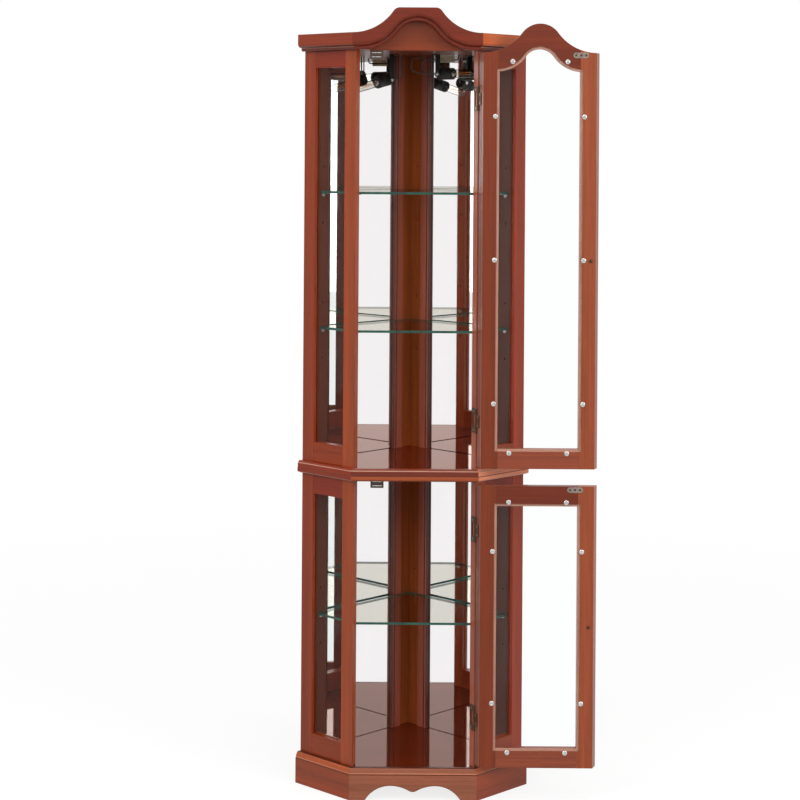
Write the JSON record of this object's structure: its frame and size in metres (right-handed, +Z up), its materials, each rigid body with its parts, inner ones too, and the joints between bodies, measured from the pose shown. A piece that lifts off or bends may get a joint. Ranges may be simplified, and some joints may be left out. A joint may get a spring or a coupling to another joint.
{
  "type": "corner curio cabinet",
  "caption": "Tall five-sided corner display cabinet: arched glass door over a shorter one, mirrored back, glass shelves, lamps, scalloped base.",
  "frame": {"origin": "foot of the outer back corner edge, on the floor", "axes": "+Z up, -Y out of the corner to the front, +X to the viewer's right; the wall planes are Y = X and Y = -X"},
  "size_m": [0.6893, 0.4065, 1.8],
  "materials": {
    "wood": "gloss lacquer over reddish cherry stain, fine vertical grain",
    "mirror": "silvered",
    "clear_glass": "clear",
    "shelf_glass": "clear with green edges",
    "bright_metal": "nickel plated",
    "dark_metal": "dark bronze, satin",
    "black_metal": "black, satin",
    "catch_plastic": "matte brown",
    "black_plastic": "matte black",
    "black_cord": "matte black",
    "bulb_glass": "clear"
  },
  "bodies": {
    "cabinet": {"base_front": "wood", "base_left": "wood", "base_right": "wood", "waist_moulding_front": "wood", "waist_moulding_left": "wood", "waist_moulding_right": "wood", "crest_front": "wood", "crest_arch_moulding": "wood", "cornice_left": "wood", "cornice_right": "wood", "frieze_panel": "wood", "lower_floor": "wood", "waist_board": "wood", "ceiling_board": "wood", "front_stile_left": "wood", "front_stile_right": "wood", "rear_post_left": "wood", "rear_post_right": "wood", "corner_post": "wood", "wall_board_left": "wood", "wall_board_right": "wood", "mirror_retainers": "wood", "lower_side_bottom_rails": "wood", "lower_side_top_rails": "wood", "upper_side_bottom_rails": "wood", "upper_side_top_rails": "wood", "lower_mirrors": "mirror", "upper_mirrors": "mirror", "lower_side_panes": "clear_glass", "upper_side_panes": "clear_glass", "lower_shelf": "shelf_glass", "middle_shelf": "shelf_glass", "upper_shelf": "shelf_glass", "shelf_clips": "bright_metal", "hinge_jamb_leaves": "dark_metal", "door_catches": "catch_plastic", "lamp_brackets": "black_metal", "lamp_lead": "black_cord"},
    "upper_door": {"upper_door_free_stile": "wood", "upper_door_hinge_stile": "wood", "upper_door_top_rail": "wood", "upper_door_bottom_rail": "wood", "upper_door_glass": "clear_glass", "upper_door_knob": "dark_metal", "upper_door_buttons": "bright_metal", "upper_door_strike": "dark_metal", "upper_door_hinge_leaves": "dark_metal"},
    "lower_door": {"lower_door_free_stile": "wood", "lower_door_hinge_stile": "wood", "lower_door_top_rail": "wood", "lower_door_bottom_rail": "wood", "lower_door_glass": "clear_glass", "lower_door_knob": "dark_metal", "lower_door_buttons": "bright_metal", "lower_door_strike": "dark_metal", "lower_door_hinge_leaves": "dark_metal"},
    "left_lamp": {"left_lamp_socket": "black_plastic", "left_lamp_bulb": "bulb_glass"},
    "right_lamp": {"right_lamp_socket": "black_plastic", "right_lamp_bulb": "bulb_glass"}
  },
  "joints": [
    {"name": "upper_door_hinge", "type": "hinge", "parent": "cabinet", "child": "upper_door", "pos_m": [0.13889, -0.38093, 1.2275], "axis": [0, 0, 1], "range_deg": [-180, 0]},
    {"name": "lower_door_hinge", "type": "hinge", "parent": "cabinet", "child": "lower_door", "pos_m": [0.13889, -0.38093, 0.399], "axis": [0, 0, 1], "range_deg": [-180, 0]},
    {"name": "left_lamp_tilt", "type": "hinge", "parent": "cabinet", "child": "left_lamp", "pos_m": [-0.06435, -0.1492, 1.643], "axis": [0.7071, -0.7071, 0], "range_deg": [-25, 20]},
    {"name": "right_lamp_tilt", "type": "hinge", "parent": "cabinet", "child": "right_lamp", "pos_m": [0.06647, -0.15132, 1.658], "axis": [0.7071, 0.7071, 0], "range_deg": [-12, 33]}
  ]
}
